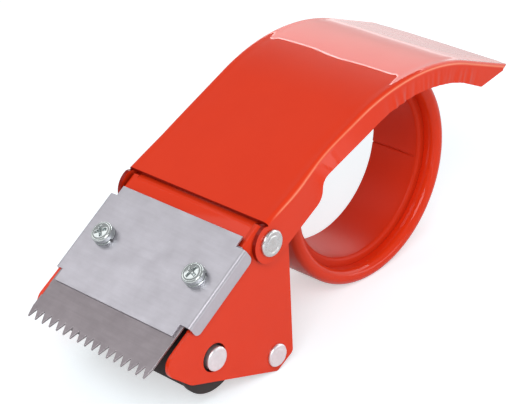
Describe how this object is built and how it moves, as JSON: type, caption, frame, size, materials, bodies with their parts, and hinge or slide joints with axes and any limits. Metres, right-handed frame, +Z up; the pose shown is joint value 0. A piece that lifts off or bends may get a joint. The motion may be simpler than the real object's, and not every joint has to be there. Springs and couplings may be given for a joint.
{
  "type": "carton tape dispenser",
  "caption": "Hand-held pressed-steel packing tape dispenser with toothed cutter, front roller, tape hoop and hinged arched handle.",
  "frame": {"origin": "centre of the bounding box at the table, under the middle of the tool", "axes": "+X from the cutting teeth to the tail of the handle, +Y to the far side that carries the hoop arm, +Z up from the table"},
  "size_m": [0.1954, 0.0726, 0.0907],
  "materials": {
    "red_paint": "gloss red-orange enamel on pressed steel",
    "cutter_steel": "dull rolled steel sheet",
    "zinc": "bright zinc plating",
    "guide_steel": "drawn steel tube",
    "tyre_rubber": "matt black rubber",
    "black_plastic": "matt black moulded plastic"
  },
  "bodies": {
    "frame": {"head_frame": "red_paint", "near_pivot_rivet": "zinc", "far_pivot_rivet": "zinc", "cover_plate": "cutter_steel", "blade": "cutter_steel", "cover_screws": "zinc", "screw_washers": "zinc", "cover_nuts": "zinc", "rear_pin": "zinc", "hoop_arm": "red_paint", "arm_rivets": "zinc", "hoop_rivets": "zinc", "hoop_shell": "red_paint", "hoop_sleeve": "red_paint"},
    "handle": {"handle": "red_paint"},
    "front_roller": {"front_axle": "zinc", "roller_tyre": "tyre_rubber", "roller_core": "black_plastic", "roller_end_caps": "black_plastic"},
    "rear_guide": {"rear_guide_sleeve": "guide_steel"}
  },
  "joints": [
    {"name": "handle_hinge", "type": "hinge", "parent": "frame", "child": "handle", "pos_m": [-0.03909, 0, 0.0541], "axis": [0, -1, 0], "range_deg": [0, 40]},
    {"name": "front_roller_spin", "type": "hinge", "parent": "frame", "child": "front_roller", "pos_m": [-0.06709, 0, 0.02], "axis": [0, 1, 0], "continuous": true},
    {"name": "rear_guide_spin", "type": "hinge", "parent": "frame", "child": "rear_guide", "pos_m": [-0.03709, 0, 0.0069], "axis": [0, 1, 0], "continuous": true}
  ]
}
